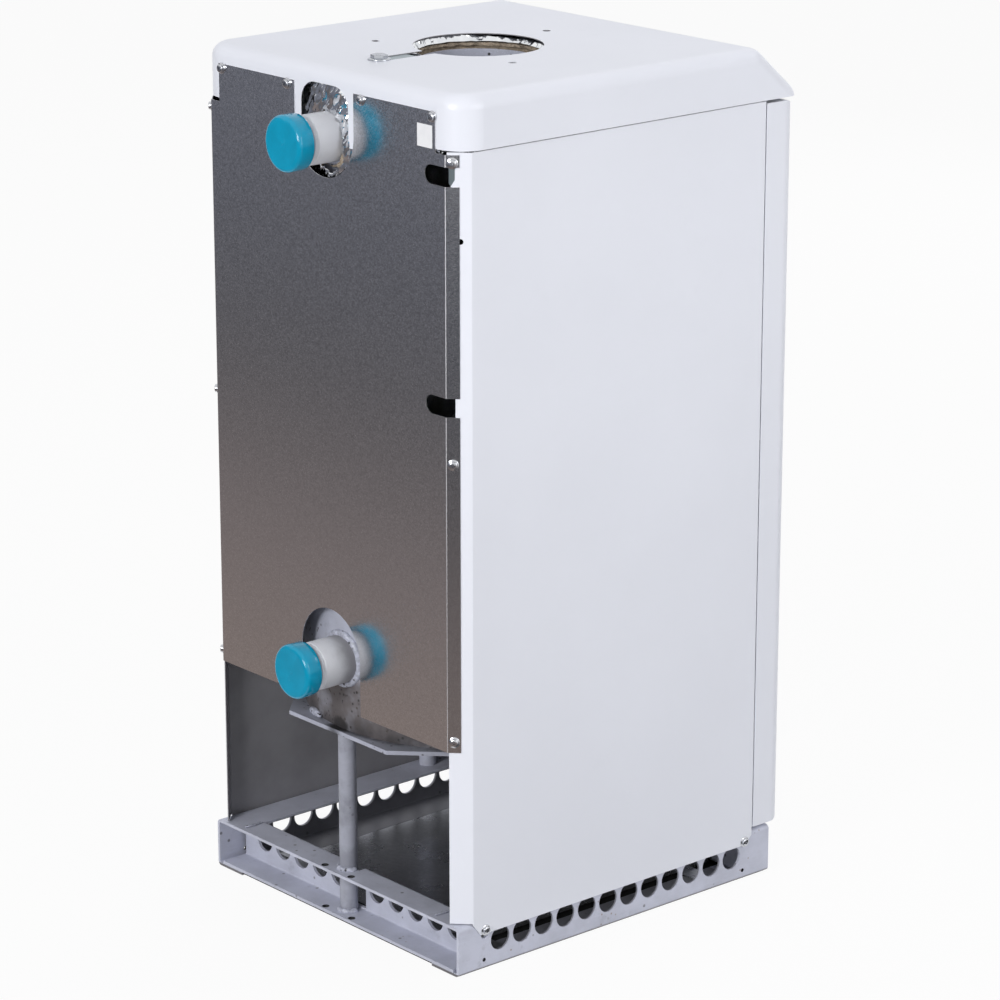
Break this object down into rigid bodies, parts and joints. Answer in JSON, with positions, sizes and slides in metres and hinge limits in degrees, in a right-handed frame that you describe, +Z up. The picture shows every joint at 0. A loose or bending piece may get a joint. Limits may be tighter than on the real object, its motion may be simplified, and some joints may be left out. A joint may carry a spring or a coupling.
{
  "type": "gas boiler",
  "caption": "Floor-standing gas boiler: white sheet casing, galvanised back, capped water pipes, top flue collar and perforated steel base; hinged front door over burner and gas valve.",
  "frame": {"origin": "on the flue axis at floor level, which is also the centre of the base of the bounding box", "axes": "+Z up, front door faces -Y, water pipes leave along +Y"},
  "size_m": [0.389, 0.48, 0.8551],
  "materials": {
    "white_casing": "smooth powder coat",
    "galvanised": "galvanised sheet with fine spangle",
    "grey_paint": "matt grey primer",
    "pipe_paint": "light grey paint",
    "bare_steel": "plain steel",
    "zinc": "bright zinc plate",
    "blue_cap": "glossy blue plastic",
    "wool": "foil-faced mineral wool",
    "label": "blank white sticker",
    "black_plastic": "matt black plastic",
    "button_red": "red plastic",
    "grey_plastic": "grey plastic",
    "clear": "clear",
    "valve_alloy": "cast and drawn aluminium",
    "brass": "plain brass and copper",
    "electrode": "white ceramic and sleeved lead",
    "gauge_metal": "plated steel",
    "dial_white": "plain white dial",
    "pointer_black": "black"
  },
  "bodies": {
    "boiler": {"base_rail_front": "grey_paint", "base_rail_left": "grey_paint", "base_rail_rear": "grey_paint", "base_rail_right": "grey_paint", "blank_label": "label", "burner_plate": "bare_steel", "burner_tubes": "bare_steel", "burner_tunnel": "bare_steel", "cover_nut_plate": "bare_steel", "cover_screw": "zinc", "door_magnet": "black_plastic", "fire_tube": "bare_steel", "firebox_crown": "bare_steel", "firebox_shell": "bare_steel", "flange_spring_nut": "zinc", "flue_collar": "grey_paint", "front_crossbar": "galvanised", "front_posts": "grey_paint", "gas_inlet_pipe": "bare_steel", "gas_jets": "brass", "gas_manifold": "valve_alloy", "gas_valve": "valve_alloy", "gauge_case": "gauge_metal", "gauge_dial": "dial_white", "gauge_glass": "clear", "heat_shield_tray": "galvanised", "hinge_brackets": "bare_steel", "hinge_pins": "zinc", "igniter_electrode": "electrode", "insulation_top": "wool", "insulation_wrap": "wool", "pilot_burner": "valve_alloy", "rear_panel": "galvanised", "rear_panel_screws": "zinc", "rear_post": "grey_paint", "return_nipple": "pipe_paint", "side_panel_left": "white_casing", "side_panel_right": "white_casing", "side_panel_screws": "zinc", "supply_nipple": "pipe_paint", "thermocouple": "brass", "thermostat_bulb": "brass", "top_cover": "white_casing", "turbulator": "bare_steel", "vessel_bottom_plate": "grey_paint", "vessel_shell": "grey_paint", "vessel_top_plate": "grey_paint", "weld_beads": "bare_steel"},
    "door": {"door_panel": "white_casing", "door_bushes": "black_plastic", "door_handle_cup": "black_plastic", "window_bezel": "grey_plastic", "window_lens": "clear"},
    "spindle": {"valve_spindle": "zinc"},
    "knob": {"control_knob": "black_plastic"},
    "igniter": {"igniter_button": "button_red"},
    "pointer": {"gauge_pointer": "pointer_black"},
    "supply_plug": {"supply_cap": "blue_cap"},
    "return_plug": {"return_cap": "blue_cap"},
    "flap": {"peephole_flap": "zinc"}
  },
  "joints": [
    {"name": "door_hinge", "type": "hinge", "parent": "boiler", "child": "door", "pos_m": [0.186, -0.2085, 0.422], "axis": [0, 0, 1], "range_deg": [0, 105]},
    {"name": "valve_turn", "type": "hinge", "parent": "boiler", "child": "spindle", "pos_m": [0.123, -0.216, 0.336], "axis": [0, -1, 0], "range_deg": [0, 270]},
    {"name": "knob_push", "type": "slide", "parent": "spindle", "child": "knob", "axis": [0, 1, 0], "range_m": [0, 0.003], "stiffness_N_per_m": 900},
    {"name": "igniter_push", "type": "slide", "parent": "boiler", "child": "igniter", "axis": [0, 1, 0], "range_m": [0, 0.004], "stiffness_N_per_m": 1200},
    {"name": "pointer_turn", "type": "hinge", "parent": "boiler", "child": "pointer", "pos_m": [0, -0.2115, 0.7], "axis": [0, 1, 0], "range_deg": [-120, 120]},
    {"name": "supply_cap_pull", "type": "slide", "parent": "boiler", "child": "supply_plug", "axis": [0, 1, 0], "range_m": [0, 0.04]},
    {"name": "return_cap_pull", "type": "slide", "parent": "boiler", "child": "return_plug", "axis": [0, 1, 0], "range_m": [0, 0.04]},
    {"name": "flap_swing", "type": "hinge", "parent": "boiler", "child": "flap", "pos_m": [-0.05, -0.19, 0.289], "axis": [0, 1, 0], "range_deg": [0, 95]}
  ]
}
